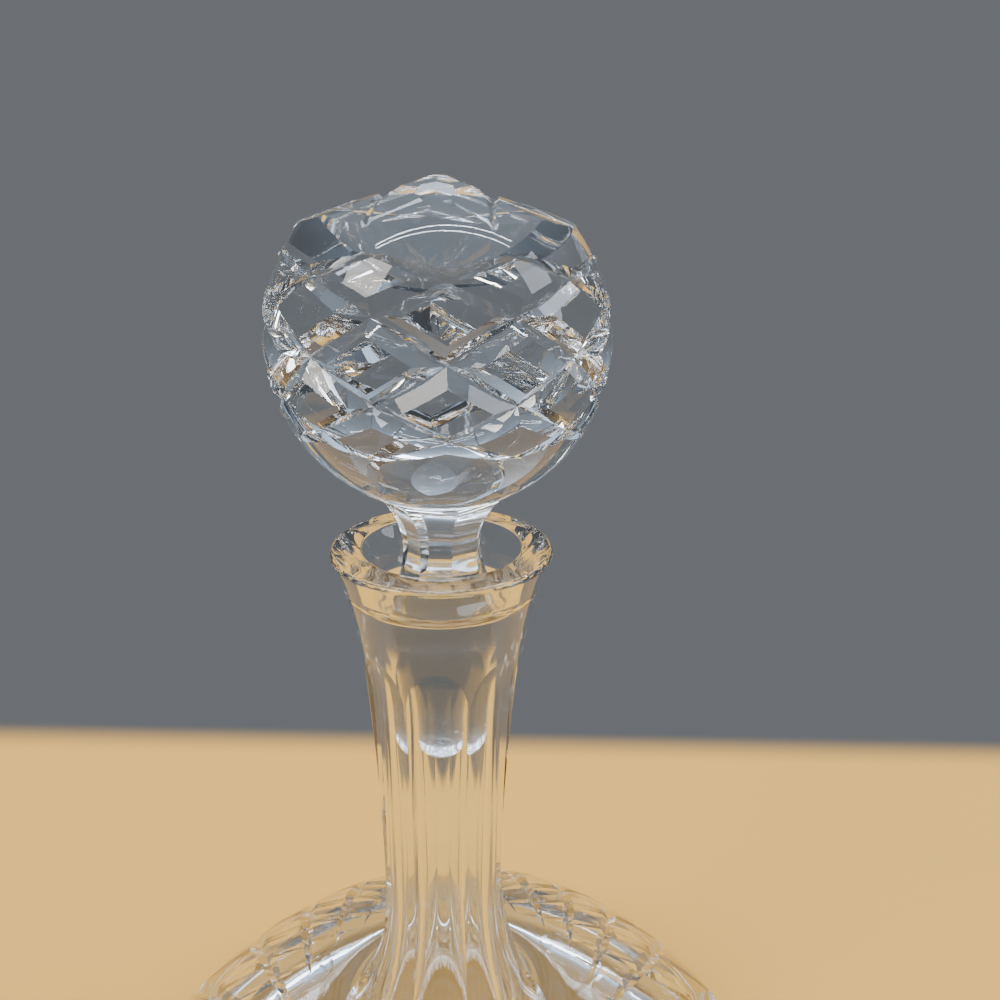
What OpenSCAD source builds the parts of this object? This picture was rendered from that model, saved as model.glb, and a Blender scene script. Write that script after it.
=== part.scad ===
// Ship's decanter of clear cut glass: wide low body, fluted neck with a flared mouth, ball stopper.
// Millimetres, Z up. The origin is the middle of the base, on the table.

/* [Body] */
// Widest diameter of the body
body_d = 200; // [190:1:210]
// Diameter where the dome of the body meets the hollow of the shoulder
shoulder_d = 66; // [62:1:70]
// Height of that line above the table
shoulder_h = 67; // [63:1:71]
// Radius of the dome's profile
dome_r = 150; // [140:5:180]
// Radius of the rounded bottom edge
base_edge = 10; // [8:1:12]
// Glass thickness of the body
wall = 5.5; // [5:0.5:7]
// Glass thickness of the floor
floor_t = 9; // [8:0.5:12]
// Width of the flat ring that the base stands on
foot_w = 18; // [12:1:24]
// Depth of the hollow ground into the underside, inside that ring
kick_h = 1.5; // [1:0.5:2.5]

/* [Neck and mouth] */
// Height of the rim above the table
rim_h = 196.4; // [192:0.2:202]
// Outside diameter of the rim
rim_d = 42.6; // [41:0.2:45]
// Width of the flat top of the rim
rim_t = 6; // [5:0.2:6.6]
// Radius of the rim's rounded outer edge
rim_edge = 0.9; // [0.6:0.1:1.4]
// Narrowest outside diameter of the neck
neck_d = 27.4; // [26.4:0.2:29]
// Inside diameter of the neck below the stopper
bore_d = 16.4; // [15:0.2:17]

/* [Stopper] */
// Diameter of the ball
ball_d = 60; // [56:1:64]
// Height of the ball's lowest point above the rim
ball_gap = 8.6; // [8:0.2:10]
// Across the flats at the narrowest place of the stem
stem_d = 14; // [13:0.2:15]
// Diameter of the plug at the height of the rim
plug_d = 19.8; // [19.4:0.2:20.4]
// Length of the plug below the rim
plug_l = 44; // [40:1:46]
// Gap all round between the plug and its seat
fit = 0.05; // [0.04:0.01:0.08]

/* [Cutting] */
// Mitre cuts each way round the ball
ball_cuts = 8; // [7:1:9]
// Depth of the mitre cuts on the ball
ball_cut_h = 2; // [1.6:0.1:2.2]
// How far the star's middle lies below the top of the full ball
crown_h = 3.3; // [2.5:0.1:4]
// Depth of the star's cuts at their middle
star_h = 1.4; // [1.2:0.1:1.8]
// Depth of the star's cuts at the tips
star_tip_h = 0.5; // [0.4:0.1:0.8]
// Mitre cuts each way round the body
body_cuts = 26; // [22:1:28]
// Depth of the mitre cuts on the body
body_cut_h = 1.5; // [1.2:0.1:1.7]
// Flat flutes round the neck, and facets round the stem
flutes = 8; // [7:1:9]
// Depth of the flutes at the waist of the neck
flute_h = 1.1; // [0.9:0.1:1.3]

/* [Hidden] */
$fn = 120;
glass = [0.86, 0.92, 0.93, 0.55];
// How far neighbouring arcs of a profile lap over each other
lap = 0.02;
// Half the angle of the wheel's edge, for the body and for the ball
body_edge_a = 58;
ball_edge_a = 54;
// Cuts that cross differ by this much in depth
cut_step = 0.06;

// Where two circles meet, left of the line from a to b for side 1 and right of it for side -1
function meet(a, ra, b, rb, side) =
    let (d = norm(b - a))
    let (u = (b - a) / d)
    let (x = (ra * ra - rb * rb + d * d) / (2 * d))
    a + x * u + side * sqrt(ra * ra - x * x) * [-u[1], u[0]];

// The point at distance r from a towards b
function toward(a, b, r) = a + r * (b - a) / norm(b - a);

// Third side of a right triangle
function leg(c, a) = sqrt(c * c - a * a);

// Dome, bottom edge and the hollow of the shoulder
edge_c = [body_d / 2 - base_edge - lap, base_edge];
dome_top = [shoulder_d / 2, shoulder_h];
dome_c = meet(dome_top, dome_r, edge_c, dome_r - base_edge, -1);
dome_end = toward(dome_c, edge_c, dome_r + 5);
hollow_r = 24;
hollow_c = toward(dome_c, dome_top, dome_r + hollow_r - 2 * lap);

// Neck: a long arc below its waist, and a longer one above it that leans out to the foot of the mouth
neck_r = neck_d / 2;
low_r = 120;
low_x = neck_r + low_r;
waist_z = hollow_c[1] + leg(low_r - hollow_r, low_x - hollow_c[0]);
low_c = [low_x, waist_z];
low_z = toward(low_c, hollow_c, low_r)[1];
mouth_h = 30;
mouth_lean = 4.2;
high_r = (rim_h - mouth_h - waist_z) / sin(mouth_lean);
high_c = [neck_r + lap + high_r, waist_z];

// Flat rim with a rounded outer edge, and the flare below it
rim_c = [rim_d / 2 - rim_edge, rim_h - rim_edge];
mouth_in = [rim_d / 2 - rim_t, rim_h];
flare_r = 90;
flare_c = meet(high_c, high_r - flare_r, rim_c, flare_r + rim_edge, 1) - [lap, 0];
flare_z = toward(high_c, flare_c, high_r)[1];
flare_top = toward(rim_c, flare_c, rim_edge)[1];

// Seat of the stopper: a taper of 1 in 10 on the diameter, from the bore up to the bowl of the mouth
bore_r = bore_d / 2;
plug_r = plug_d / 2;
taper = 1 / 20;
function plug_at(z) = plug_r - (rim_h - z) * taper;
seat_low = rim_h - (plug_r + fit - bore_r) / taper;

// Bowl of the mouth: a wall that leans out to the rim, rounded in to the top of the seat
bowl_h = 10;
bowl_r = 5;
bowl_lean = 16;
bowl_up = [sin(bowl_lean), cos(bowl_lean)];
bowl_in = bowl_r * [-bowl_up[1], bowl_up[0]];
seat_top = [plug_at(rim_h - bowl_h) + fit, rim_h - bowl_h];
bowl_span = mouth_in + bowl_in - seat_top;
bowl_along = bowl_span * bowl_up;
bowl_wall = bowl_along - sqrt(bowl_along * bowl_along - bowl_span * bowl_span + bowl_r * bowl_r);
bowl_end = mouth_in - bowl_wall * bowl_up;
bowl_c = bowl_end + bowl_in + [lap, 0];
seat_end = [plug_at(bowl_c[1]) + fit, bowl_c[1]];
mouth_end = mouth_in + bowl_r * bowl_up;

// Cavity: below the bore it follows the outside of the neck and the shoulder
inner_r = dome_r - wall;
inner_top = toward(dome_c, dome_top, inner_r);
inner_hollow_r = hollow_r + wall;
widen_r = low_r + wall;
widen_x = bore_r + widen_r - lap;
widen_c = [widen_x, hollow_c[1] + leg(widen_r - inner_hollow_r, widen_x - hollow_c[0])];
widen_z = toward(widen_c, hollow_c, widen_r)[1];
corner_r = 14;
corner_z = floor_t + corner_r;
corner_c = [dome_c[0] + leg(inner_r - corner_r, corner_z - dome_c[1]), corner_z];
inner_end = toward(dome_c, corner_c, inner_r + 5);
kick_r = body_d / 2 - base_edge - foot_w;

// Flutes: they follow the neck, end in an arch below the mouth, and run out in petals on the shoulder
flute_x = neck_r - flute_h;
flute_low_c = [flute_x + low_r, waist_z];
flute_high_c = [flute_x + lap + high_r, waist_z];
arch_h = 18.8;
arch_r = 30;
arch_end = [flare_c[0] - leg(flare_r, flare_c[1] - rim_h + arch_h), rim_h - arch_h];
arch_c = meet(flute_high_c, high_r - arch_r, arch_end, arch_r, 1) + [lap, 0];
arch_z = toward(flute_high_c, arch_c, high_r)[1];
petal_r = 21;
petal_x = shoulder_d / 2 - 7.5;
petal_end = [petal_x, hollow_c[1] - leg(hollow_r, hollow_c[0] - petal_x)];
petal_c = meet(flute_low_c, low_r - petal_r, petal_end, petal_r, -1) - [lap, 0];
petal_z = toward(flute_low_c, petal_c, low_r)[1];

// Mitre cuts on the body: they run out below the shoulder and over the bottom edge
cut_in = 24.4;
cut_x = body_d / 2 - cut_in;
cut_z = dome_c[1] + leg(dome_r, cut_x - dome_c[0]);
cut_lean = asin((cut_x - dome_c[0]) / dome_r);
cut_turn = 22;
cut_wheel = 165;
cut_span = 39;

// Stopper
ball_r = ball_d / 2;
ball_z = rim_h + ball_gap + ball_r;
stem_low_r = 18;
stem_high_r = 16;
stem_flare = 3.1;
stem_top = [plug_r + stem_flare, ball_z - 0.86 * ball_r];
plug_end = rim_h - plug_l;
plug_edge = 6;
// Mitre cuts on the ball: tilt of their planes, and how far from the equator they leave the ball
ball_tilt = 31;
cut_end = 72;
ball_turn = 6.5;
stem_turn = -4.5;
// Star on top of the ball: a low eight-sided pyramid with a small table, crossed by long chords
star_slope = 18;
star_top = ball_r - crown_h;
star_table = 1.5;
star_foot = star_table + ball_d / tan(star_slope);
star_a = 39;
star_end = ball_r * [cos(star_a), sin(star_a)];
star_turn = 1;
star_x = star_end[0] * cos(67.5);
star_half = star_end[0] * sin(67.5);
star_low = star_top - (star_x - star_table) * tan(star_slope) - star_h;
star_rise = star_low - star_end[1] + star_tip_h;
star_wheel = (star_half * star_half + star_rise * star_rise) / (2 * star_rise);

// The part of a profile between the axis and a hollow arc
module beside(c, r, low, high, reach) {
    difference() {
        translate([0, low])
            square([reach, high - low]);
        translate(c)
            circle(r, $fn = 600);
    }
}

// A dome with a rounded lower edge
module domed(r, end, c, edge) {
    intersection() {
        translate(dome_c)
            circle(r, $fn = 480);
        polygon([[0, c[1] - edge], [c[0], c[1] - edge], c, end, [end[0], rim_h], [0, rim_h]]);
    }
    translate(c)
        circle(edge + lap);
}

module outside() {
    domed(dome_r, dome_end, edge_c, base_edge);
    beside(hollow_c, hollow_r, shoulder_h - 5, low_z, dome_top[0]);
    beside(low_c, low_r, low_z - 5, waist_z, 2 * neck_r);
    beside(high_c, high_r, waist_z - 5, flare_z + 4, 2 * neck_r);
    beside(flare_c, flare_r, flare_z, flare_top, 2 * neck_r);
    translate(rim_c)
        circle(rim_edge);
    translate([0, flare_top - rim_edge / 2])
        square([rim_c[0], rim_h - flare_top + rim_edge / 2]);
}

module inside() {
    domed(inner_r, inner_end, corner_c, corner_r);
    beside(hollow_c, inner_hollow_r, inner_top[1] - 5, widen_z, inner_top[0]);
    beside(widen_c, widen_r, widen_z - 5, widen_c[1], 2 * bore_r);
    polygon([
        [0, widen_c[1] - 5],
        [bore_r, widen_c[1] - 5],
        [bore_r, seat_low],
        seat_end,
        [0, seat_end[1]]
    ]);
    translate(bowl_c)
        circle(bowl_r);
    polygon([[0, bowl_end[1]], bowl_end, mouth_end, [0, mouth_end[1]]]);
}

module lathe_body() {
    rotate_extrude()
        difference() {
            outside();
            inside();
            translate([0, -base_edge])
                square([body_d, base_edge]);
            polygon([[0, kick_h], [kick_r, 0], [kick_r, -base_edge], [0, -base_edge]]);
        }
}

module flute() {
    rotate([90, 0, 0])
        linear_extrude(height = 30, center = true)
            intersection() {
                union() {
                    translate(petal_c)
                        circle(petal_r);
                    difference() {
                        translate(flute_low_c)
                            circle(low_r, $fn = 480);
                        square([4 * neck_r, petal_z]);
                    }
                    intersection() {
                        translate(flute_high_c)
                            circle(high_r, $fn = 600);
                        translate([0, waist_z])
                            square([4 * neck_r, arch_z - waist_z]);
                    }
                    difference() {
                        translate(arch_c)
                            circle(arch_r);
                        square([4 * neck_r, arch_z]);
                    }
                }
                square([2.5 * neck_r, arch_end[1] + 4]);
            }
}

// Edge of a cutting wheel: part of a V-shaped ring in the XZ plane round the origin, its tip at radius r
module wheel(r, h, edge_a, span) {
    w = h * tan(edge_a);
    rotate([90, 0, 0])
        rotate([0, 0, 90 - span / 2])
            rotate_extrude(angle = span, $fn = 360)
                polygon([[r, 0], [r + h, w], [r + h, -w]]);
}

module body_cut(side) {
    h = side > 0 ? body_cut_h : body_cut_h - cut_step;
    translate([cut_x, 0, cut_z])
        rotate([0, cut_lean, 0])
            rotate([0, 0, side * cut_turn])
                translate([0, 0, -cut_wheel - h])
                    wheel(cut_wheel, h + 0.4, body_edge_a, cut_span);
}

// One way round the body
module body_row(side) {
    for (i = [0 : body_cuts - 1])
        rotate([0, 0, (i + 0.5) * 360 / body_cuts])
            body_cut(side);
}

module fluted_body() {
    difference() {
        lathe_body();
        for (i = [0 : flutes - 1])
            rotate([0, 0, i * 360 / flutes])
                flute();
    }
}

module decanter() {
    color(glass)
        difference() {
            difference() {
                fluted_body();
                body_row(1);
            }
            body_row(-1);
        }
}

// The wheel's middle lies off the ball's, so a cut is deepest on the equator and runs out at both ends
module ball_cut(side) {
    h = side > 0 ? ball_cut_h : ball_cut_h - cut_step;
    off = h / (1 - cos(cut_end));
    rotate([90 + side * ball_tilt, 0, 0])
        rotate([0, 90, 0])
            translate([0, 0, -off])
                wheel(ball_r + off * cos(cut_end), h + 0.6, ball_edge_a, 2 * cut_end + 12);
}

// One way round the ball
module ball_row(side) {
    for (i = [0 : ball_cuts - 1])
        rotate([0, 0, ball_turn + i * 360 / ball_cuts])
            ball_cut(side);
}

// Two parallel cuts of the star on top, each along a chord over three eighths of the rim
module star_pair(k) {
    for (i = [0, 1])
        rotate([0, 0, star_turn + 45 * k + 180 * i])
            translate([star_x, 0, star_low - star_wheel + k * cut_step])
                rotate([0, 0, 90])
                    wheel(star_wheel, 3, ball_edge_a, 56);
}

// The star after k pairs of cuts
module star(k) {
    if (k == 0)
        intersection() {
            sphere(ball_r);
            translate([0, 0, star_top - ball_d])
                rotate([0, 0, star_turn])
                    cylinder(r1 = star_foot, r2 = star_table, h = ball_d, $fn = 8);
        }
    else
        difference() {
            star(k - 1);
            star_pair(k);
        }
}

module ball() {
    difference() {
        difference() {
            star(4);
            ball_row(1);
        }
        ball_row(-1);
    }
}

// Hollow facet of the stem: narrowest at the height of the rim, and wider towards the ball
module facet() {
    rotate([90, 0, 0])
        linear_extrude(height = 30, center = true) {
            difference() {
                translate([stem_d / 2 + stem_low_r, rim_h])
                    circle(stem_low_r);
                translate([0, rim_h])
                    square(4 * stem_low_r);
            }
            difference() {
                translate([stem_d / 2 + lap + stem_high_r, rim_h])
                    circle(stem_high_r);
                translate([0, rim_h - 4 * stem_high_r])
                    square(4 * stem_high_r);
            }
        }
}

module stem() {
    difference() {
        rotate_extrude() {
            polygon([
                [0, plug_end],
                [plug_at(plug_end + plug_edge) - plug_edge, plug_end],
                [plug_at(plug_end + plug_edge), plug_end + plug_edge],
                [plug_r, rim_h],
                stem_top,
                [0, stem_top[1]]
            ]);
            intersection() {
                translate([plug_at(plug_end + plug_edge) - plug_edge + lap, plug_end + plug_edge])
                    circle(plug_edge);
                translate([0, plug_end])
                    square(2 * plug_r);
            }
        }
        for (i = [0 : flutes - 1])
            rotate([0, 0, stem_turn + i * 360 / flutes])
                facet();
    }
}

module stopper() {
    color(glass) {
        stem();
        translate([0, 0, ball_z])
            ball();
    }
}

decanter();
stopper();
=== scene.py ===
# Ship's decanter of clear cut glass: the vessel and its ball stopper, turned and cut as the glass cutter did.
import math

import bmesh
import bpy
from mathutils import Matrix, Vector


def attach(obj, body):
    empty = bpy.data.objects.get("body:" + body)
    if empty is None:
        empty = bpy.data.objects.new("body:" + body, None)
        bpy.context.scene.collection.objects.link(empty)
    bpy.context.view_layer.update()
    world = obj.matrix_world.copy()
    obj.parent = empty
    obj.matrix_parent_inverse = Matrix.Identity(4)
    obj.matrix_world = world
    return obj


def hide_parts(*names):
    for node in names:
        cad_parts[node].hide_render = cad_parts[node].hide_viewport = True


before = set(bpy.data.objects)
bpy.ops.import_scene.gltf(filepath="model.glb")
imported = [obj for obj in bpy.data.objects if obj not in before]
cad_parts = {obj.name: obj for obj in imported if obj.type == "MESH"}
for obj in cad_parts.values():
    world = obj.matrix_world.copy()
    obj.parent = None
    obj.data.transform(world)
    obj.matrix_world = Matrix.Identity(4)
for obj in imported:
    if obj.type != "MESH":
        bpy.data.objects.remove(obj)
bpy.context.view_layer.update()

MM = 0.001

# Sizes of the part in millimetres and degrees, the same as those of its solids

# Body: a dome on a rounded bottom edge, with a flat ring to stand on round a slightly hollow underside
BODY_D = 200.0
DOME_R = 150.0
SHOULDER_D = 66.0
SHOULDER_H = 67.0
BASE_EDGE = 10.0
FOOT_W = 18.0
KICK_H = 1.5
WALL = 5.5
FLOOR_T = 9.0
CORNER_R = 14.0

# Neck: a hollow curve up from the shoulder, a slender waist, and a flare out to the mouth
NECK_D = 27.4
HOLLOW_R = 24.0
LOW_R = 120.0
FLARE_R = 90.0
MOUTH_H = 30.0
MOUTH_LEAN = 4.2
BORE_D = 16.4

# Mouth: a flat rim round a small bowl, with the stopper's tapered seat below it
RIM_H = 196.4
RIM_D = 42.6
RIM_T = 6.0
RIM_EDGE = 0.9
LIP_EDGE = 0.6
BOWL_H = 10.0
BOWL_R = 5.0
BOWL_LEAN = 16.0
TAPER = 1 / 20
FIT = 0.05

# Stopper: a ground plug, a stem with hollow facets, and a ball
PLUG_D = 19.8
PLUG_L = 44.0
PLUG_EDGE = 6.0
GROUND_IN = 1.0
GROUND_OVER = 0.7
STEM_D = 14.0
STEM_LOW_R = 18.0
STEM_HIGH_R = 16.0
STEM_FLARE = 3.1
STEM_IN = 4.2
STEM_TURN = -4.5
FACETS = 8
BALL_D = 60.0
BALL_GAP = 8.6

# Flutes of the neck, with an arch at the top and a petal at the foot
FLUTES = 8
FLUTE_H = 1.1
ARCH_H = 18.8
ARCH_R = 30.0
PETAL_R = 21.0
PETAL_IN = 7.5

# Lattice of the body: mitre cuts, with half the angle of the wheel's edge and the span of it that is drawn
BODY_CUTS = 26
BODY_CUT_H = 1.5
BODY_CUT_IN = 24.4
BODY_CUT_LEAN = 22.0
BODY_EDGE_A = 58.0
BODY_WHEEL_R = 165.0
BODY_WHEEL_SPAN = 39.0

# Lattice of the ball: cuts that lean from upright and run out at an angle from their middle
BALL_CUTS = 8
BALL_CUT_H = 2.0
BALL_CUT_LEAN = 31.0
BALL_CUT_END = 72.0
BALL_EDGE_A = 54.0
BALL_WHEEL_SPAN = 156.0
BALL_TURN = 6.5

# Star on the ball's low crown: each cut joins one tip to the third one after it
CROWN_H = 3.3
CROWN_LEAN = 18.0
STAR_TABLE = 1.5
STAR_H = 1.4
STAR_TIP_H = 0.5
STAR_TIP_A = 39.0
STAR_STRIDE = 3
STAR_EDGE_A = 54.0
STAR_WHEEL_H = 3.0
STAR_WHEEL_SPAN = 56.0
STAR_TURN = 1.0

# Half the width of the flat wheels, and how far each kind of wheel reaches past the glass
WHEEL_HALF = 15.0
ARCH_OVER = 4.0
FLUTE_FAR = 34.25
BODY_OVER = 0.4
BALL_OVER = 0.6

# Finish: edges sharper than the crease stay crisp, and the waves of the glass are so many millimetres apart
CREASE = 11.0
CRYSTAL_IOR = 1.54
VESSEL_WAVE = 22.0
STOPPER_WAVE = 40.0
VESSEL_SEGMENTS = 224
STOPPER_SEGMENTS = 144

# Studio paper in metres: half its width and depth, its height, and how far back it begins to fade and is gone
PAPER_WIDE = 0.5
PAPER_DEEP = 0.25
PAPER_Z = -0.1 * MM
PAPER_FADE = 0.185
PAPER_END = 0.21


def to_linear(colour):
    """An sRGB hex colour as linear red, green, blue and alpha."""
    parts = [int(colour[i:i + 2], 16) / 255 for i in (1, 3, 5)]
    return tuple(c / 12.92 if c <= 0.04045 else ((c + 0.055) / 1.055) ** 2.4 for c in parts) + (1.0,)


def node(tree, kind, inputs=None, **settings):
    """Adds a node, sets its properties, and fills or links its inputs."""
    made = tree.nodes.new(kind)
    for name, value in settings.items():
        setattr(made, name, value)
    for name, value in (inputs or {}).items():
        if isinstance(value, bpy.types.NodeSocket):
            tree.links.new(value, made.inputs[name])
        else:
            made.inputs[name].default_value = value
    return made


# Plane geometry of the profiles, in millimetres: x is the radius, y the height

def meet(a, ra, b, rb, side):
    """Where two circles meet, left of the line from a to b for side 1 and right of it for side -1."""
    d = (b - a).length
    u = (b - a) / d
    x = (ra * ra - rb * rb + d * d) / (2 * d)
    return a + x * u + side * math.sqrt(ra * ra - x * x) * Vector((-u.y, u.x))


def toward(a, b, r):
    """The point at a distance from a, on the way to b."""
    return a + r * (b - a).normalized()


def leg(c, a):
    """The other leg of a right triangle with hypotenuse c."""
    return math.sqrt(c * c - a * a)


def arc(centre, start, end, step):
    """Points from start to end the short way round a centre, about a step apart."""
    a = math.atan2(start.y - centre.y, start.x - centre.x)
    b = math.atan2(end.y - centre.y, end.x - centre.x)
    turn = (b - a + math.pi) % (2 * math.pi) - math.pi
    r = (start - centre).length
    count = max(4, int(abs(turn) * r / step))
    return [centre + r * Vector((math.cos(a + turn * i / count), math.sin(a + turn * i / count)))
            for i in range(count + 1)]


def line(start, end, step):
    """Points from start to end, about a step apart."""
    count = max(1, int((end - start).length / step))
    return [start.lerp(end, i / count) for i in range(count + 1)]


def plug_at(z):
    """Radius of the tapered plug at a height."""
    return PLUG_D / 2 - (RIM_H - z) * TAPER


# Outside of the vessel
EDGE_C = Vector((BODY_D / 2 - BASE_EDGE, BASE_EDGE))
DOME_TOP = Vector((SHOULDER_D / 2, SHOULDER_H))
DOME_C = meet(DOME_TOP, DOME_R, EDGE_C, DOME_R - BASE_EDGE, -1)
DOME_LOW = toward(DOME_C, EDGE_C, DOME_R)
KICK_R = BODY_D / 2 - BASE_EDGE - FOOT_W
HOLLOW_C = toward(DOME_C, DOME_TOP, DOME_R + HOLLOW_R)
NECK_R = NECK_D / 2
WAIST_Z = HOLLOW_C.y + leg(LOW_R - HOLLOW_R, NECK_R + LOW_R - HOLLOW_C.x)
WAIST = Vector((NECK_R, WAIST_Z))
LOW_C = Vector((NECK_R + LOW_R, WAIST_Z))
LOW_END = toward(LOW_C, HOLLOW_C, LOW_R)
HIGH_R = (RIM_H - MOUTH_H - WAIST_Z) / math.sin(math.radians(MOUTH_LEAN))
HIGH_C = Vector((NECK_R + HIGH_R, WAIST_Z))
RIM_C = Vector((RIM_D / 2 - RIM_EDGE, RIM_H - RIM_EDGE))
FLARE_C = meet(HIGH_C, HIGH_R - FLARE_R, RIM_C, FLARE_R + RIM_EDGE, 1)
FLARE_LOW = toward(HIGH_C, FLARE_C, HIGH_R)
FLARE_TOP = toward(RIM_C, FLARE_C, RIM_EDGE)

# Inside of the mouth: a bowl whose wall leans out to the rim and is rounded in to the seat below
MOUTH_IN = Vector((RIM_D / 2 - RIM_T, RIM_H))
BORE_R = BORE_D / 2
SEAT_LOW = Vector((BORE_R, RIM_H - (PLUG_D / 2 + FIT - BORE_R) / TAPER))
SEAT_TOP = Vector((plug_at(RIM_H - BOWL_H) + FIT, RIM_H - BOWL_H))
BOWL_UP = Vector((math.sin(math.radians(BOWL_LEAN)), math.cos(math.radians(BOWL_LEAN))))
BOWL_IN = BOWL_R * Vector((-BOWL_UP.y, BOWL_UP.x))
BOWL_SPAN = MOUTH_IN + BOWL_IN - SEAT_TOP
BOWL_ALONG = BOWL_SPAN.dot(BOWL_UP)
BOWL_WALL = BOWL_ALONG - math.sqrt(BOWL_ALONG ** 2 - BOWL_SPAN.length_squared + BOWL_R ** 2)
BOWL_END = MOUTH_IN - BOWL_WALL * BOWL_UP
BOWL_C = BOWL_END + BOWL_IN

# Cavity, which follows the outside at the wall's thickness and widens down from the bore
INNER_R = DOME_R - WALL
INNER_HOLLOW_R = HOLLOW_R + WALL
INNER_TOP = toward(DOME_C, DOME_TOP, INNER_R)
WIDEN_R = LOW_R + WALL
WIDEN_X = BORE_R + WIDEN_R
WIDEN_Z = HOLLOW_C.y + leg(WIDEN_R - INNER_HOLLOW_R, WIDEN_X - HOLLOW_C.x)
WIDEN_C = Vector((WIDEN_X, WIDEN_Z))
WIDEN_TOP = Vector((BORE_R, WIDEN_C.y))
WIDEN_END = toward(WIDEN_C, HOLLOW_C, WIDEN_R)
CORNER_Z = FLOOR_T + CORNER_R
CORNER_C = Vector((DOME_C.x + leg(INNER_R - CORNER_R, CORNER_Z - DOME_C.y), CORNER_Z))
CORNER_TOP = toward(DOME_C, CORNER_C, INNER_R)
CORNER_LOW = Vector((CORNER_C.x, FLOOR_T))

# Stopper: its ground taper runs from above the plug's rounded end to where the bowl of the mouth begins
BALL_R = BALL_D / 2
BALL_Z = RIM_H + BALL_GAP + BALL_R
STEM_TOP = Vector((PLUG_D / 2 + STEM_FLARE, BALL_Z - BALL_R + STEM_IN))
PLUG_LOW = RIM_H - PLUG_L
GROUND_LOW = PLUG_LOW + PLUG_EDGE + GROUND_IN
GROUND_TOP = RIM_H - BOWL_H
GROUND_R = PLUG_D / 2 + GROUND_OVER
STAR_TOP = BALL_R - CROWN_H
STAR_SLOPE = math.tan(math.radians(CROWN_LEAN))


def vessel_profile():
    """The vessel's section, from the middle of the underside up the outside and down the inside."""
    # The polished inner edge of the rim is broken with a small radius
    back = LIP_EDGE * math.tan(math.radians(90 - BOWL_LEAN) / 2)
    lip_c = MOUTH_IN + Vector((back, -LIP_EDGE))
    lip_top = MOUTH_IN + Vector((back, 0))
    lip_low = MOUTH_IN - back * BOWL_UP
    foot_in = Vector((KICK_R, 0))
    foot_out = Vector((EDGE_C.x, 0))
    rim_top = RIM_C + Vector((0, RIM_EDGE))
    runs = [
        line(Vector((0, KICK_H)), foot_in, 8),
        line(foot_in, foot_out, 5),
        arc(EDGE_C, foot_out, DOME_LOW, 0.7),
        arc(DOME_C, DOME_LOW, DOME_TOP, 2.2),
        arc(HOLLOW_C, DOME_TOP, LOW_END, 1.2),
        arc(LOW_C, LOW_END, WAIST, 2.5),
        arc(HIGH_C, WAIST, FLARE_LOW, 3),
        arc(FLARE_C, FLARE_LOW, FLARE_TOP, 1.2),
        arc(RIM_C, FLARE_TOP, rim_top, 0.2),
        line(rim_top, lip_top, 1.5),
        arc(lip_c, lip_top, lip_low, 0.1),
        line(lip_low, BOWL_END, 1.5),
        arc(BOWL_C, BOWL_END, SEAT_TOP, 0.4),
        line(SEAT_TOP, SEAT_LOW, 4),
        line(SEAT_LOW, WIDEN_TOP, 4),
        arc(WIDEN_C, WIDEN_TOP, WIDEN_END, 2.5),
        arc(HOLLOW_C, WIDEN_END, INNER_TOP, 1.2),
        arc(DOME_C, INNER_TOP, CORNER_TOP, 2.5),
        arc(CORNER_C, CORNER_TOP, CORNER_LOW, 0.9),
        line(CORNER_LOW, Vector((0, FLOOR_T)), 6),
    ]
    points = runs[0][:]
    for run in runs[1:]:
        points += run[1:]
    return points


def stem_profile():
    """The plug and the blank of the stem, from the plug's end up into the ball."""
    edge_z = PLUG_LOW + PLUG_EDGE
    edge_c = Vector((plug_at(edge_z) - PLUG_EDGE, edge_z))
    edge_low = Vector((edge_c.x, PLUG_LOW))
    points = line(Vector((0, PLUG_LOW)), edge_low, 2)
    points += arc(edge_c, edge_low, Vector((edge_c.x + PLUG_EDGE, edge_z)), 0.3)[1:]
    for start, end in ((edge_z, GROUND_LOW), (GROUND_LOW, GROUND_TOP), (GROUND_TOP, RIM_H)):
        points += line(Vector((plug_at(start), start)), Vector((plug_at(end), end)), 2)[1:]
    points += line(Vector((PLUG_D / 2, RIM_H)), STEM_TOP, 1)[1:]
    return points + line(STEM_TOP, Vector((0, STEM_TOP.y)), 3)[1:]


def ball_profile():
    """Half of the ball's outline, from its lowest point to its highest."""
    middle = Vector((0, BALL_Z))
    low, side, top = (middle + BALL_R * Vector(way) for way in ((0, -1), (1, 0), (0, 1)))
    return arc(middle, low, side, 0.7) + arc(middle, side, top, 0.7)[1:]


def linked(name, mesh):
    """A mesh as an object of the scene."""
    made = bpy.data.objects.new(name, mesh)
    bpy.context.scene.collection.objects.link(made)
    return made


def blank(name, points):
    """A section as a row of points in the XZ plane, for the lathe."""
    mesh = bpy.data.meshes.new(name)
    edges = [(i, i + 1) for i in range(len(points) - 1)]
    mesh.from_pydata([(p.x * MM, 0, p.y * MM) for p in points], edges, [])
    return linked(name, mesh)


# Cutting wheels, as solids to be taken out of the blank

def turn_outwards(mesh):
    """Turns the faces of a closed mesh outwards."""
    work = bmesh.new()
    work.from_mesh(mesh)
    bmesh.ops.recalc_face_normals(work, faces=work.faces)
    if work.calc_volume(signed=True) < 0:
        bmesh.ops.reverse_faces(work, faces=work.faces)
    work.to_mesh(mesh)
    work.free()


def solid(name, points, faces):
    """A closed mesh object from its points and faces."""
    mesh = bpy.data.meshes.new(name)
    mesh.from_pydata(points, [], faces)
    turn_outwards(mesh)
    return linked(name, mesh)


def flat_wheel(name, outline):
    """A wheel whose edge is straight across: an outline in the XZ plane, drawn out to both sides."""
    count = len(outline)
    points = [(p.x * MM, y * MM, p.y * MM) for y in (-WHEEL_HALF, WHEEL_HALF) for p in outline]
    faces = [list(range(count)), list(range(2 * count - 1, count - 1, -1))]
    faces += [[i, i + count, (i + 1) % count + count, (i + 1) % count] for i in range(count)]
    return solid(name, points, faces)


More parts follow.
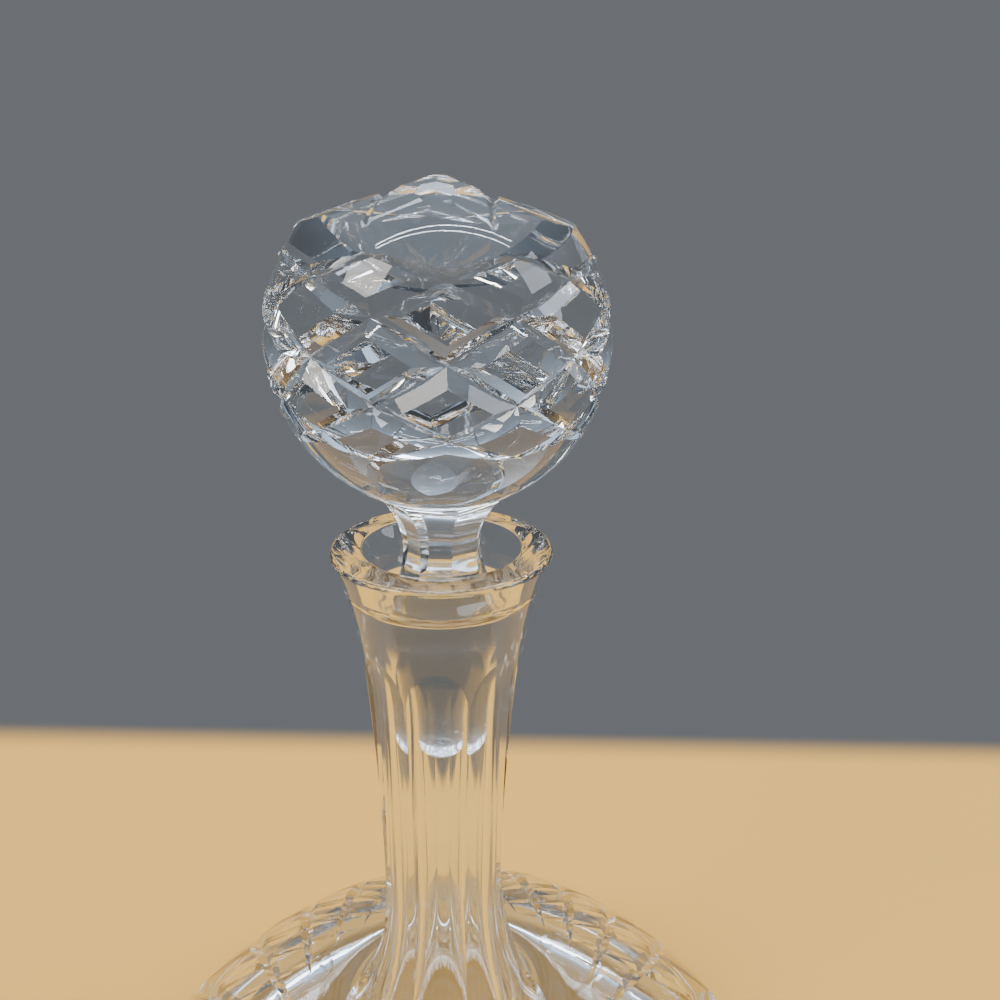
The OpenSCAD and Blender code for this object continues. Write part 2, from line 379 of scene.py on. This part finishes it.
def mitre_wheel(name, r, h, edge_a, span, place):
    """A wheel with a V edge: part of a ring in the XZ plane about +Z, its tip at radius r, set in place."""
    w = h * math.tan(math.radians(edge_a))
    count = max(24, int(math.radians(span) * r / 1.2))
    points = []
    faces = [[2, 1, 0], [3 * count, 3 * count + 1, 3 * count + 2]]
    for i in range(count + 1):
        a = math.radians(90 + span * (i / count - 0.5))
        for out, side in ((r, 0), (r + h, w), (r + h, -w)):
            points.append(place @ Vector((out * math.cos(a), side, out * math.sin(a))) * MM)
    for i in range(count):
        for j in range(3):
            a, b = 3 * i + j, 3 * i + (j + 1) % 3
            faces.append([a, b, b + 3, a + 3])
    return solid(name, points, faces)


def flute_wheel():
    """The wide wheel that flutes the neck, from an arch below the mouth to a petal on the shoulder."""
    x = NECK_R - FLUTE_H
    top = RIM_H - ARCH_H
    waist = Vector((x, WAIST_Z))
    high_c = Vector((x + HIGH_R, WAIST_Z))
    low_c = Vector((x + LOW_R, WAIST_Z))
    petal_x = SHOULDER_D / 2 - PETAL_IN
    petal_end = Vector((petal_x, HOLLOW_C.y - leg(HOLLOW_R, HOLLOW_C.x - petal_x)))
    petal_c = meet(low_c, LOW_R - PETAL_R, petal_end, PETAL_R, -1)
    petal_low = petal_c - Vector((0, PETAL_R))
    petal_top = toward(low_c, petal_c, LOW_R)
    arch_end = Vector((FLARE_C.x - leg(FLARE_R, FLARE_C.y - top), top))
    arch_c = meet(high_c, HIGH_R - ARCH_R, arch_end, ARCH_R, 1)
    arch_low = toward(high_c, arch_c, HIGH_R)
    crest_z = top + ARCH_OVER
    crest = Vector((arch_c.x - leg(ARCH_R, crest_z - arch_c.y), crest_z))
    far = max(FLUTE_FAR, petal_c.x)
    outline = arc(petal_c, petal_low, petal_top, 0.8)
    outline += arc(low_c, petal_top, waist, 1.5)[1:]
    outline += arc(high_c, waist, arch_low, 2)[1:]
    outline += arc(arch_c, arch_low, crest, 0.5)[1:]
    return flat_wheel("flute_wheel", outline + [Vector((far, crest.y)), Vector((far, petal_c.y - PETAL_R))])


def stem_wheel():
    """The wheel that hollows the stem's facets: narrowest at the rim, and wider towards the ball."""
    waist = Vector((STEM_D / 2, RIM_H))
    low_c = waist + Vector((STEM_LOW_R, 0))
    high_c = waist + Vector((STEM_HIGH_R, 0))
    outline = arc(low_c, low_c - Vector((0, STEM_LOW_R)), waist, 0.4)
    outline += arc(high_c, waist, high_c + Vector((0, STEM_HIGH_R)), 0.4)[1:]
    return flat_wheel("stem_wheel", outline)


def body_wheel(side):
    """The mitre wheel of the body's lattice, square to the dome and leaning left or right."""
    x = BODY_D / 2 - BODY_CUT_IN
    slope = math.asin((x - DOME_C.x) / DOME_R)
    place = (Matrix.Translation((x, 0, DOME_C.y + leg(DOME_R, x - DOME_C.x)))
             @ Matrix.Rotation(slope, 4, "Y")
             @ Matrix.Rotation(math.radians(side * BODY_CUT_LEAN), 4, "Z")
             @ Matrix.Translation((0, 0, -BODY_WHEEL_R - BODY_CUT_H)))
    return mitre_wheel("body_wheel", BODY_WHEEL_R, BODY_CUT_H + BODY_OVER, BODY_EDGE_A, BODY_WHEEL_SPAN,
                       place)


def ball_wheel(side):
    """The mitre wheel of the ball's lattice, deepest at the ball's middle and leaning left or right."""
    end = math.cos(math.radians(BALL_CUT_END))
    off = BALL_CUT_H / (1 - end)
    place = (Matrix.Translation((0, 0, BALL_Z))
             @ Matrix.Rotation(math.radians(90 + side * BALL_CUT_LEAN), 4, "X")
             @ Matrix.Rotation(math.pi / 2, 4, "Y")
             @ Matrix.Translation((0, 0, -off)))
    return mitre_wheel("ball_wheel", BALL_R + off * end, BALL_CUT_H + BALL_OVER, BALL_EDGE_A, BALL_WHEEL_SPAN,
                       place)


def star_wheel():
    """The mitre wheel of the star, deepest halfway between the two tips that it joins."""
    tip_a = math.radians(STAR_TIP_A)
    half_turn = math.radians(180 / FACETS * STAR_STRIDE)
    end = BALL_R * Vector((math.cos(tip_a), math.sin(tip_a)))
    x = end.x * math.cos(half_turn)
    half = end.x * math.sin(half_turn)
    low = STAR_TOP - (x - STAR_TABLE) * STAR_SLOPE - STAR_H
    rise = low - end.y + STAR_TIP_H
    r = (half * half + rise * rise) / (2 * rise)
    place = Matrix.Translation((x, 0, BALL_Z + low - r)) @ Matrix.Rotation(math.pi / 2, 4, "Z")
    return mitre_wheel("star_wheel", r, STAR_WHEEL_H, STAR_EDGE_A, STAR_WHEEL_SPAN, place)


def star_crown():
    """The low eight-sided crown that the ball's top is cut to, with a small flat at its tip."""
    points = []
    for r, z in ((STAR_TABLE + BALL_D / STAR_SLOPE, STAR_TOP - BALL_D), (STAR_TABLE, STAR_TOP)):
        for i in range(FACETS):
            a = math.radians(STAR_TURN + 360 / FACETS * i)
            points.append((r * math.cos(a) * MM, r * math.sin(a) * MM, (BALL_Z + z) * MM))
    faces = [list(range(FACETS - 1, -1, -1)), list(range(FACETS, 2 * FACETS))]
    faces += [[i, (i + 1) % FACETS, FACETS + (i + 1) % FACETS, FACETS + i] for i in range(FACETS)]
    return solid("star_crown", points, faces)


# Node groups: turning on the lathe, cutting round the axis, and the two finished pieces

def group(name, inputs):
    """An empty geometry tree with a geometry output and named inputs."""
    tree = bpy.data.node_groups.new(name, "GeometryNodeTree")
    tree.interface.new_socket("Geometry", in_out="OUTPUT", socket_type="NodeSocketGeometry")
    for label, kind in inputs:
        tree.interface.new_socket(label, in_out="INPUT", socket_type="NodeSocket" + kind)
    return tree, node(tree, "NodeGroupInput").outputs


def lathe_group():
    """Turns a section, whose points are in order, about the Z axis."""
    tree, given = group("Lathe", [("Section", "Geometry"), ("Segments", "Int")])
    size = node(tree, "GeometryNodeAttributeDomainSize", {"Geometry": given["Section"]}, component="MESH")
    columns = node(tree, "FunctionNodeIntegerMath", {0: given["Segments"], 1: 1}, operation="ADD")
    sheet = node(tree, "GeometryNodeMeshGrid", {"Size X": 1, "Size Y": 1, "Vertices X": columns.outputs[0],
                                                "Vertices Y": size.outputs["Point Count"]})
    place = node(tree, "GeometryNodeInputPosition")
    parts = node(tree, "ShaderNodeSeparateXYZ", {0: place.outputs[0]})
    # The sheet's width becomes the turn, and its height the row of the section
    across = node(tree, "ShaderNodeMath", {0: parts.outputs["X"], 1: 0.5}, operation="ADD")
    angle = node(tree, "ShaderNodeMath", {0: across.outputs[0], 1: 2 * math.pi}, operation="MULTIPLY")
    up = node(tree, "ShaderNodeMath", {0: parts.outputs["Y"], 1: 0.5}, operation="ADD")
    last = node(tree, "FunctionNodeIntegerMath", {0: size.outputs["Point Count"], 1: 1}, operation="SUBTRACT")
    row = node(tree, "ShaderNodeMath", {0: up.outputs[0], 1: last.outputs[0], 2: 0.5},
               operation="MULTIPLY_ADD")
    whole = node(tree, "ShaderNodeMath", {0: row.outputs[0]}, operation="FLOOR")
    spot = node(tree, "GeometryNodeSampleIndex",
                {"Geometry": given["Section"], "Value": place.outputs[0], "Index": whole.outputs[0]},
                data_type="FLOAT_VECTOR", domain="POINT")
    turned = node(tree, "ShaderNodeVectorRotate", {"Vector": spot.outputs[0], "Angle": angle.outputs[0]},
                  rotation_type="Z_AXIS")
    bent = node(tree, "GeometryNodeSetPosition",
                {"Geometry": sheet.outputs["Mesh"], "Position": turned.outputs[0]})
    # The seam and the poles are closed
    closed = node(tree, "GeometryNodeMergeByDistance", {"Geometry": bent.outputs[0], "Distance": 0.002 * MM})
    node(tree, "NodeGroupOutput", {"Geometry": closed.outputs[0]})
    return tree


def cutting_group():
    """Takes a wheel out of a solid at even steps round the Z axis."""
    tree, given = group("Cut round", [("Solid", "Geometry"), ("Wheel", "Object"), ("Count", "Int"),
                                      ("Turn", "Float")])
    points = node(tree, "GeometryNodePoints", {"Count": given["Count"]})
    index = node(tree, "GeometryNodeInputIndex")
    step = node(tree, "ShaderNodeMath", {0: 2 * math.pi, 1: given["Count"]}, operation="DIVIDE")
    angle = node(tree, "ShaderNodeMath", {0: index.outputs[0], 1: step.outputs[0], 2: given["Turn"]},
                 operation="MULTIPLY_ADD")
    spin = node(tree, "ShaderNodeCombineXYZ", {"Z": angle.outputs[0]})
    wheel = node(tree, "GeometryNodeObjectInfo", {"Object": given["Wheel"]})
    wheels = node(tree, "GeometryNodeInstanceOnPoints",
                  {"Points": points.outputs[0], "Instance": wheel.outputs["Geometry"],
                   "Rotation": spin.outputs[0]})
    cut = node(tree, "GeometryNodeMeshBoolean", {"Mesh 1": given["Solid"], "Mesh 2": wheels.outputs[0]},
               operation="DIFFERENCE", solver="MANIFOLD")
    node(tree, "NodeGroupOutput", {"Geometry": cut.outputs["Mesh"]})
    return tree


POLISH_INPUTS = [("Crease", "Float"), ("Glass", "Material"), ("Ground glass", "Material"),
                 ("Ground low", "Float"), ("Ground high", "Float"), ("Ground radius", "Float")]


def polishing_group():
    """Crisp edges where faces meet at an angle, smooth elsewhere; polished glass, but ground in the taper."""
    tree, given = group("Polish", [("Solid", "Geometry")] + POLISH_INPUTS)
    bend = node(tree, "GeometryNodeInputMeshEdgeAngle")
    soft = node(tree, "FunctionNodeCompare", {0: bend.outputs["Unsigned Angle"], 1: given["Crease"]},
                operation="LESS_THAN")
    faces = node(tree, "GeometryNodeSetShadeSmooth", {"Geometry": given["Solid"], "Shade Smooth": True},
                 domain="FACE")
    edges = node(tree, "GeometryNodeSetShadeSmooth",
                 {"Geometry": faces.outputs[0], "Shade Smooth": soft.outputs[0]}, domain="EDGE")
    # The ground zone lies between two heights, within a radius of the axis
    place = node(tree, "GeometryNodeInputPosition")
    parts = node(tree, "ShaderNodeSeparateXYZ", {0: place.outputs[0]})
    flat = node(tree, "ShaderNodeVectorMath", {0: place.outputs[0], 1: (1, 1, 0)}, operation="MULTIPLY")
    out = node(tree, "ShaderNodeVectorMath", {0: flat.outputs[0]}, operation="LENGTH")
    near = node(tree, "FunctionNodeCompare", {0: out.outputs["Value"], 1: given["Ground radius"]},
                operation="LESS_THAN")
    above = node(tree, "FunctionNodeCompare", {0: parts.outputs["Z"], 1: given["Ground low"]},
                 operation="GREATER_THAN")
    below = node(tree, "FunctionNodeCompare", {0: parts.outputs["Z"], 1: given["Ground high"]},
                 operation="LESS_THAN")
    between = node(tree, "FunctionNodeBooleanMath", {0: above.outputs[0], 1: below.outputs[0]},
                   operation="AND")
    seat = node(tree, "FunctionNodeBooleanMath", {0: between.outputs[0], 1: near.outputs[0]}, operation="AND")
    real = node(tree, "GeometryNodeRealizeInstances", {"Geometry": edges.outputs[0]})
    bright = node(tree, "GeometryNodeSetMaterial", {"Geometry": real.outputs[0], "Material": given["Glass"]})
    matt = node(tree, "GeometryNodeSetMaterial", {"Geometry": bright.outputs[0], "Selection": seat.outputs[0],
                                                  "Material": given["Ground glass"]})
    node(tree, "NodeGroupOutput", {"Geometry": matt.outputs[0]})
    return tree


def vessel_group(lathe, cutting, polishing):
    """The vessel: turned, fluted, cut with the lattice both ways, and polished."""
    tree, given = group("Vessel", [("Section", "Geometry"), ("Segments", "Int"), ("Flute wheel", "Object"),
                                   ("Flutes", "Int"), ("Left wheel", "Object"), ("Right wheel", "Object"),
                                   ("Cuts", "Int"), ("Cut turn", "Float")] + POLISH_INPUTS)
    made = node(tree, "GeometryNodeGroup", {0: given["Section"], 1: given["Segments"]}, node_tree=lathe)
    made = node(tree, "GeometryNodeGroup", {0: made.outputs[0], 1: given["Flute wheel"], 2: given["Flutes"]},
                node_tree=cutting)
    for wheel in ("Left wheel", "Right wheel"):
        made = node(tree, "GeometryNodeGroup", {0: made.outputs[0], 1: given[wheel], 2: given["Cuts"],
                                                3: given["Cut turn"]}, node_tree=cutting)
    polish = {name: given[name] for name, kind in POLISH_INPUTS}
    done = node(tree, "GeometryNodeGroup", {0: made.outputs[0], **polish}, node_tree=polishing)
    node(tree, "NodeGroupOutput", {"Geometry": done.outputs[0]})
    return tree


def stopper_group(lathe, cutting, polishing):
    """The stopper: a turned stem with facets, joined to a turned ball with its crown, star and lattice."""
    tree, given = group("Stopper", [("Section", "Geometry"), ("Segments", "Int"), ("Stem blank", "Object"),
                                    ("Stem wheel", "Object"), ("Facets", "Int"), ("Stem turn", "Float"),
                                    ("Star wheel", "Object"), ("Star turn", "Float"), ("Crown", "Object"),
                                    ("Left wheel", "Object"), ("Right wheel", "Object"), ("Cuts", "Int"),
                                    ("Cut turn", "Float")] + POLISH_INPUTS)
    rod = node(tree, "GeometryNodeObjectInfo", {"Object": given["Stem blank"]})
    stem = node(tree, "GeometryNodeGroup", {0: rod.outputs["Geometry"], 1: given["Segments"]},
                node_tree=lathe)
    stem = node(tree, "GeometryNodeGroup", {0: stem.outputs[0], 1: given["Stem wheel"], 2: given["Facets"],
                                            3: given["Stem turn"]}, node_tree=cutting)
    ball = node(tree, "GeometryNodeGroup", {0: given["Section"], 1: given["Segments"]}, node_tree=lathe)
    crown = node(tree, "GeometryNodeObjectInfo", {"Object": given["Crown"]})
    made = node(tree, "GeometryNodeMeshBoolean", {"Mesh 2": ball.outputs[0]}, operation="INTERSECT",
                solver="MANIFOLD")
    tree.links.new(crown.outputs["Geometry"], made.inputs["Mesh 2"])
    for wheel, count, turn in (("Star wheel", "Facets", "Star turn"), ("Left wheel", "Cuts", "Cut turn"),
                               ("Right wheel", "Cuts", "Cut turn")):
        made = node(tree, "GeometryNodeGroup", {0: made.outputs[0], 1: given[wheel], 2: given[count],
                                                3: given[turn]}, node_tree=cutting)
    whole = node(tree, "GeometryNodeMeshBoolean", {"Mesh 2": made.outputs[0]}, operation="UNION",
                 solver="MANIFOLD")
    tree.links.new(stem.outputs[0], whole.inputs["Mesh 2"])
    polish = {name: given[name] for name, kind in POLISH_INPUTS}
    done = node(tree, "GeometryNodeGroup", {0: whole.outputs[0], **polish}, node_tree=polishing)
    node(tree, "NodeGroupOutput", {"Geometry": done.outputs[0]})
    return tree


def finished(name, section, tree, values):
    """The tree's result on a section, as a plain mesh object with only the materials that it uses."""
    cutter = section.modifiers.new("cutting", "NODES")
    cutter.node_group = tree
    for item in tree.interface.items_tree:
        if item.in_out == "INPUT" and item.name in values:
            cutter[item.identifier] = values[item.name]
    section.update_tag()
    bpy.context.view_layer.update()
    mesh = bpy.data.meshes.new_from_object(section.evaluated_get(bpy.context.evaluated_depsgraph_get()))
    mesh.name = name
    wanted = [face.material_index for face in mesh.polygons]
    slots = list(mesh.materials)
    kept = [m for i, m in enumerate(slots) if m and i in set(wanted)]
    mesh.materials.clear()
    for used in kept:
        mesh.materials.append(used)
    mesh.polygons.foreach_set("material_index", [kept.index(slots[i]) for i in wanted])
    section.modifiers.remove(cutter)
    bpy.data.objects.remove(section)
    return linked(name, mesh)


# Materials

def material(name, colour):
    """A new material of one colour, with its tree, its shader's inputs and its Object coordinates."""
    made = bpy.data.materials.new(name)
    made.use_nodes = True
    tree = made.node_tree
    shader = tree.nodes["Principled BSDF"].inputs
    shader["Base Color"].default_value = to_linear(colour)
    return made, tree, shader, node(tree, "ShaderNodeTexCoord").outputs["Object"]


def lead_crystal(name, tint, wave_mm):
    """Lead crystal, blown, cut and acid polished: clear and heavy, with a high index that makes cuts flash.
    Hand work leaves a faint waviness in the walls and a little uneven haze from handling."""
    made, tree, shader, place = material(name, tint)
    shader["Transmission Weight"].default_value = 1.0
    shader["IOR"].default_value = CRYSTAL_IOR
    # Handling haze in patches about 15 mm wide
    haze = node(tree, "ShaderNodeTexNoise",
                {"Vector": place, "Scale": 1 / (15 * MM), "Detail": 4.0, "Roughness": 0.6})
    rough = node(tree, "ShaderNodeMapRange", {"Value": haze.outputs[0], "From Min": 0.45, "From Max": 0.8,
                                              "To Min": 0.0, "To Max": 0.035})
    tree.links.new(rough.outputs[0], shader["Roughness"])
    # Waves of the blown wall
    wave = node(tree, "ShaderNodeTexNoise", {"Vector": place, "Scale": 1 / (wave_mm * MM), "Detail": 1.0})
    bump = node(tree, "ShaderNodeBump", {"Height": wave.outputs[0], "Strength": 0.05, "Distance": 1 * MM})
    tree.links.new(bump.outputs[0], shader["Normal"])
    return made


def ground_crystal():
    """Crystal ground with wet grit to a taper, so that stopper and neck seal: clear, with a faint bloom."""
    made, tree, shader, place = material("ground_lead_crystal", "#f2f6f6")
    shader["Transmission Weight"].default_value = 1.0
    shader["IOR"].default_value = CRYSTAL_IOR
    # Grit marks, drawn at 0.35 mm so that they show
    grit = node(tree, "ShaderNodeTexNoise", {"Vector": place, "Scale": 1 / (0.35 * MM), "Detail": 3.0})
    rough = node(tree, "ShaderNodeMapRange", {"Value": grit.outputs[0], "From Min": 0.3, "From Max": 0.7,
                                              "To Min": 0.06, "To Max": 0.16})
    tree.links.new(rough.outputs[0], shader["Roughness"])
    bump = node(tree, "ShaderNodeBump", {"Height": grit.outputs[0], "Strength": 0.06, "Distance": 0.1 * MM})
    tree.links.new(bump.outputs[0], shader["Normal"])
    return made


def floor_paper():
    """Matt warm studio paper, twice as wide as deep, its edge lost in the grey of the room."""
    made, tree, shader, place = material("studio_paper", "#e6aa48")
    shader["Roughness"].default_value = 0.8
    out = node(tree, "ShaderNodeVectorMath", {0: place}, operation="ABSOLUTE")
    parts = node(tree, "ShaderNodeSeparateXYZ", {0: out.outputs[0]})
    across = node(tree, "ShaderNodeMath", {0: parts.outputs["X"], 1: PAPER_DEEP / PAPER_WIDE},
                  operation="MULTIPLY")
    far = node(tree, "ShaderNodeMath", {0: across.outputs[0], 1: parts.outputs["Y"]}, operation="MAXIMUM")
    fade = node(tree, "ShaderNodeMapRange",
                {"Value": far.outputs[0], "From Min": PAPER_FADE, "From Max": PAPER_END,
                 "To Min": 1.0, "To Max": 0.0}, interpolation_type="SMOOTHSTEP")
    tree.links.new(fade.outputs[0], shader["Alpha"])
    return made


# The two pieces of glass
lathe, cutting, polishing = lathe_group(), cutting_group(), polishing_group()
ground = ground_crystal()

flute, body_left, body_right = flute_wheel(), body_wheel(1), body_wheel(-1)
vessel = finished(
    "decanter_glass", blank("vessel_section", vessel_profile()), vessel_group(lathe, cutting, polishing), {
        "Segments": VESSEL_SEGMENTS, "Flute wheel": flute, "Flutes": FLUTES,
        "Left wheel": body_left, "Right wheel": body_right, "Cuts": BODY_CUTS,
        "Cut turn": math.pi / BODY_CUTS, "Crease": math.radians(CREASE),
        "Glass": lead_crystal("polished_lead_crystal", "#fbfdfd", VESSEL_WAVE),
        "Ground glass": ground, "Ground low": SEAT_LOW.y * MM, "Ground high": GROUND_TOP * MM,
        "Ground radius": GROUND_R * MM})

stem_blank, crown = blank("stem_section", stem_profile()), star_crown()
stem_cut, star_cut, ball_left, ball_right = stem_wheel(), star_wheel(), ball_wheel(1), ball_wheel(-1)
stopper = finished(
    "stopper_glass", blank("ball_section", ball_profile()), stopper_group(lathe, cutting, polishing), {
        "Segments": STOPPER_SEGMENTS, "Stem blank": stem_blank, "Stem wheel": stem_cut, "Facets": FACETS,
        "Stem turn": math.radians(STEM_TURN), "Star wheel": star_cut, "Star turn": math.radians(STAR_TURN),
        "Crown": crown, "Left wheel": ball_left, "Right wheel": ball_right, "Cuts": BALL_CUTS,
        "Cut turn": math.radians(BALL_TURN), "Crease": math.radians(CREASE),
        "Glass": lead_crystal("polished_stopper_crystal", "#f8fcfe", STOPPER_WAVE), "Ground glass": ground,
        "Ground low": GROUND_LOW * MM, "Ground high": GROUND_TOP * MM, "Ground radius": GROUND_R * MM})

for tool in (flute, body_left, body_right, stem_blank, crown, stem_cut, star_cut, ball_left, ball_right):
    bpy.data.objects.remove(tool)

for piece, body, part, finish in ((vessel, "vessel", "decanter", "vessel_glass"),
                                  (stopper, "stopper", "stopper", "stopper_glass")):
    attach(piece, body)
    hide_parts(part)

# Floor: it lies a hair below the foot, so that light leaving the foot still meets it
floor_mesh = bpy.data.meshes.new("studio_floor")
corners = [(x * PAPER_WIDE, y * PAPER_DEEP, PAPER_Z) for x, y in ((-1, -1), (1, -1), (1, 1), (-1, 1))]
floor_mesh.from_pydata(corners, [], [[0, 1, 2, 3]])
floor_mesh.materials.append(floor_paper())
floor = linked("studio_floor", floor_mesh)

# Room: grey walls, darker behind the camera, under a bright cool ceiling
world = bpy.data.worlds.new("studio_room")
world.use_nodes = True
bpy.context.scene.world = world
room = world.node_tree
way = node(room, "ShaderNodeSeparateXYZ", {0: node(room, "ShaderNodeTexCoord").outputs["Generated"]})
rise = node(room, "ShaderNodeMapRange", {"Value": way.outputs["Z"], "From Min": 0.26, "From Max": 0.9},
            interpolation_type="SMOOTHSTEP")
depth = node(room, "ShaderNodeMapRange", {"Value": way.outputs["Y"], "From Min": -0.7, "From Max": 0.3},
             interpolation_type="SMOOTHSTEP")
wall = node(room, "ShaderNodeMix",
            {"Factor": depth.outputs[0], "A": to_linear("#3d4044"), "B": to_linear("#6c6f73")},
            data_type="RGBA")
tone = node(room, "ShaderNodeMix",
            {"Factor": rise.outputs[0], "A": wall.outputs["Result"], "B": to_linear("#c6ddf7")},
            data_type="RGBA")
glow = node(room, "ShaderNodeMapRange", {"Value": rise.outputs[0], "To Min": 1.0, "To Max": 1.7})
room.links.new(tone.outputs["Result"], room.nodes["Background"].inputs["Color"])
room.links.new(glow.outputs[0], room.nodes["Background"].inputs["Strength"])

# Lights: place, aim and size in metres, power in watts. The strips draw the double line on the ball's top.
for name, place, aim, size, power, colour in (
        ("key_softbox", (-0.9, -0.7, 1.1), (0, 0, 0.15), (0.6, 0.6), 11, "#fff8ee"),
        ("fill_softbox", (1.1, -0.2, 0.8), (0, 0, 0.15), (0.4, 0.8), 6, "#eef4ff"),
        ("top_softbox", (0.1, 0.3, 1.4), (0, 0, 0.2), (0.9, 0.6), 14, "#e8f1ff"),
        ("front_strip", (0.05, -0.30, 1.235), (0.02, -0.12, 0.235), (1.4, 0.012), 2.5, "#f4f8ff"),
        ("back_strip", (0.05, -0.23, 1.235), (0.02, -0.08, 0.235), (1.4, 0.012), 2.5, "#f4f8ff")):
    lamp = bpy.data.lights.new(name, "AREA")
    lamp.shape = "RECTANGLE"
    lamp.size, lamp.size_y = size
    lamp.energy = power
    lamp.color = to_linear(colour)[:3]
    made = bpy.data.objects.new(name, lamp)
    made.location = place
    made.rotation_euler = (Vector(aim) - Vector(place)).to_track_quat("-Z", "Y").to_euler()
    bpy.context.scene.collection.objects.link(made)

# Light crosses the cut glass many times before it leaves
light_paths = bpy.context.scene.cycles
light_paths.max_bounces = light_paths.transmission_bounces = 24
light_paths.glossy_bounces = 16

# Camera: close above the mouth, looking down a little, as the photograph was taken
EYE = Vector((0.01098, -0.1335, 0.2521))
PITCH = math.radians(19.22)
ROLL = math.radians(1.07)
right = Vector((1, 0, 0))
up = Vector((0, math.sin(PITCH), math.cos(PITCH)))
back = Vector((0, -math.cos(PITCH), math.sin(PITCH)))
side = right * math.cos(ROLL) + up * math.sin(ROLL)
head = up * math.cos(ROLL) - right * math.sin(ROLL)
lens = bpy.data.cameras.new("photo_camera")
lens.sensor_width = 36
lens.lens = 27
lens.clip_start = 0.005
camera = bpy.data.objects.new("photo_camera", lens)
camera.matrix_world = Matrix.Translation(EYE) @ Matrix((side, head, back)).transposed().to_4x4()
bpy.context.scene.collection.objects.link(camera)
bpy.context.scene.camera = camera
